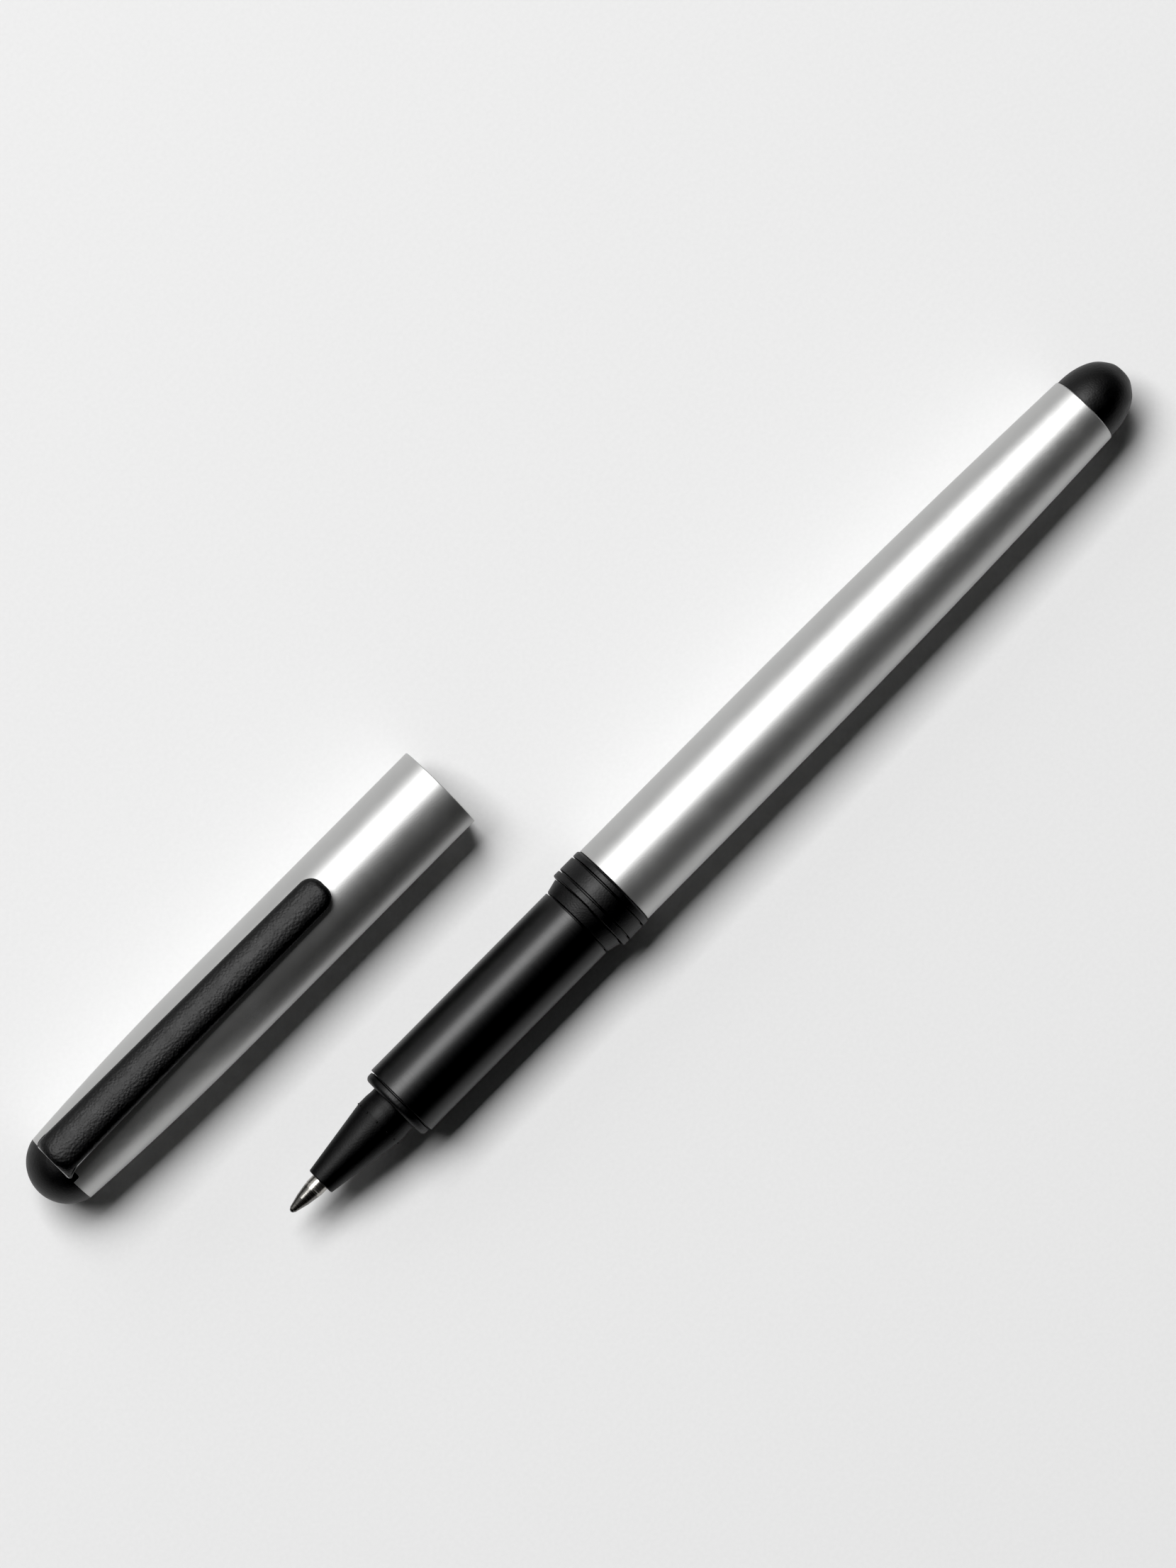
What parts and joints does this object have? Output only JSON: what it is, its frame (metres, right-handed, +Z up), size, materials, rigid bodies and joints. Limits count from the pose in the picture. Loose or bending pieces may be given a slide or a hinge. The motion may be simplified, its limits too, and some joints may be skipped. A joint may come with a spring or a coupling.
{
  "type": "rollerball pen",
  "caption": "Rollerball pen with a satin aluminium barrel, black grip and rings, screw-in refill section, and a matching cap with a sprung clip lying beside it.",
  "frame": {"origin": "on the table, under the middle of the box that holds the pen and its cap", "axes": "+X along the pen from the writing tip to the rear dome, +Y from the pen to the cap beside it, +Z up from the table"},
  "size_m": [0.152, 0.0328, 0.0129],
  "materials": {
    "barrel_aluminium": "satin bead-blasted silver anodising",
    "cap_aluminium": "satin bead-blasted silver anodising",
    "grip_aluminium": "satin black anodising",
    "bush_brass": "turned",
    "ring_plastic": "fine matte grain",
    "dome_plastic": "fine matte grain",
    "clip_plastic": "fine leathery grain",
    "clip_steel": "satin",
    "core_plastic": "moulded",
    "nose_plastic": "fine matte grain",
    "liner_plastic": "moulded",
    "spring_steel": "drawn wire",
    "tip_steel": "polished, turned",
    "ball_steel": "polished",
    "refill_plastic": "translucent",
    "ink_fibre": "ink-soaked fibre"
  },
  "bodies": {
    "barrel": {"barrel_tube": "barrel_aluminium", "barrel_bush": "bush_brass", "rear_dome": "dome_plastic", "refill_spring": "spring_steel"},
    "refill": {"refill_tip": "tip_steel", "refill_nose": "nose_plastic", "feed_rod": "ink_fibre", "ink_reservoir": "ink_fibre", "refill_tube": "refill_plastic", "refill_plug": "nose_plastic"},
    "ball": {"tip_ball": "ball_steel"},
    "section": {"section_core": "core_plastic", "front_ring": "ring_plastic", "grip_sleeve": "grip_aluminium", "cone_ring": "ring_plastic", "stop_ring": "ring_plastic", "wide_ring": "ring_plastic", "flange_ring": "ring_plastic"},
    "cap": {"cap_tube": "cap_aluminium", "cap_crown": "dome_plastic", "cap_liner": "liner_plastic"},
    "clip": {"clip_spring": "clip_steel", "clip_cover": "clip_plastic"}
  },
  "joints": [
    {"name": "refill_travel", "type": "slide", "parent": "barrel", "child": "refill", "axis": [-1, 0, 0], "range_m": [0, 0.006]},
    {"name": "section_turn", "type": "hinge", "parent": "refill", "child": "section", "pos_m": [-0.00775, -0.01078, 0.00558], "axis": [-1, 0, 0], "range_deg": [0, 1080]},
    {"name": "ball_roll", "type": "hinge", "parent": "refill", "child": "ball", "pos_m": [-0.0574, -0.01078, 0.00558], "axis": [0, 1, 0], "continuous": true},
    {"name": "cap_slide", "type": "slide", "parent": "barrel", "child": "cap", "axis": [-0.9467, -0.322, 0.0021], "range_m": [0, 0.06739]},
    {"name": "clip_flex", "type": "hinge", "parent": "cap", "child": "clip", "pos_m": [-0.0719, 0.01192, 0.00993], "axis": [0, -0.9759, 0.2181], "range_deg": [0, 4], "stiffness_Nm_per_rad": 0.6}
  ],
  "couplings": [
    {"joint": "section_turn", "follows": "refill_travel", "rad_per_m": 3141.6}
  ]
}
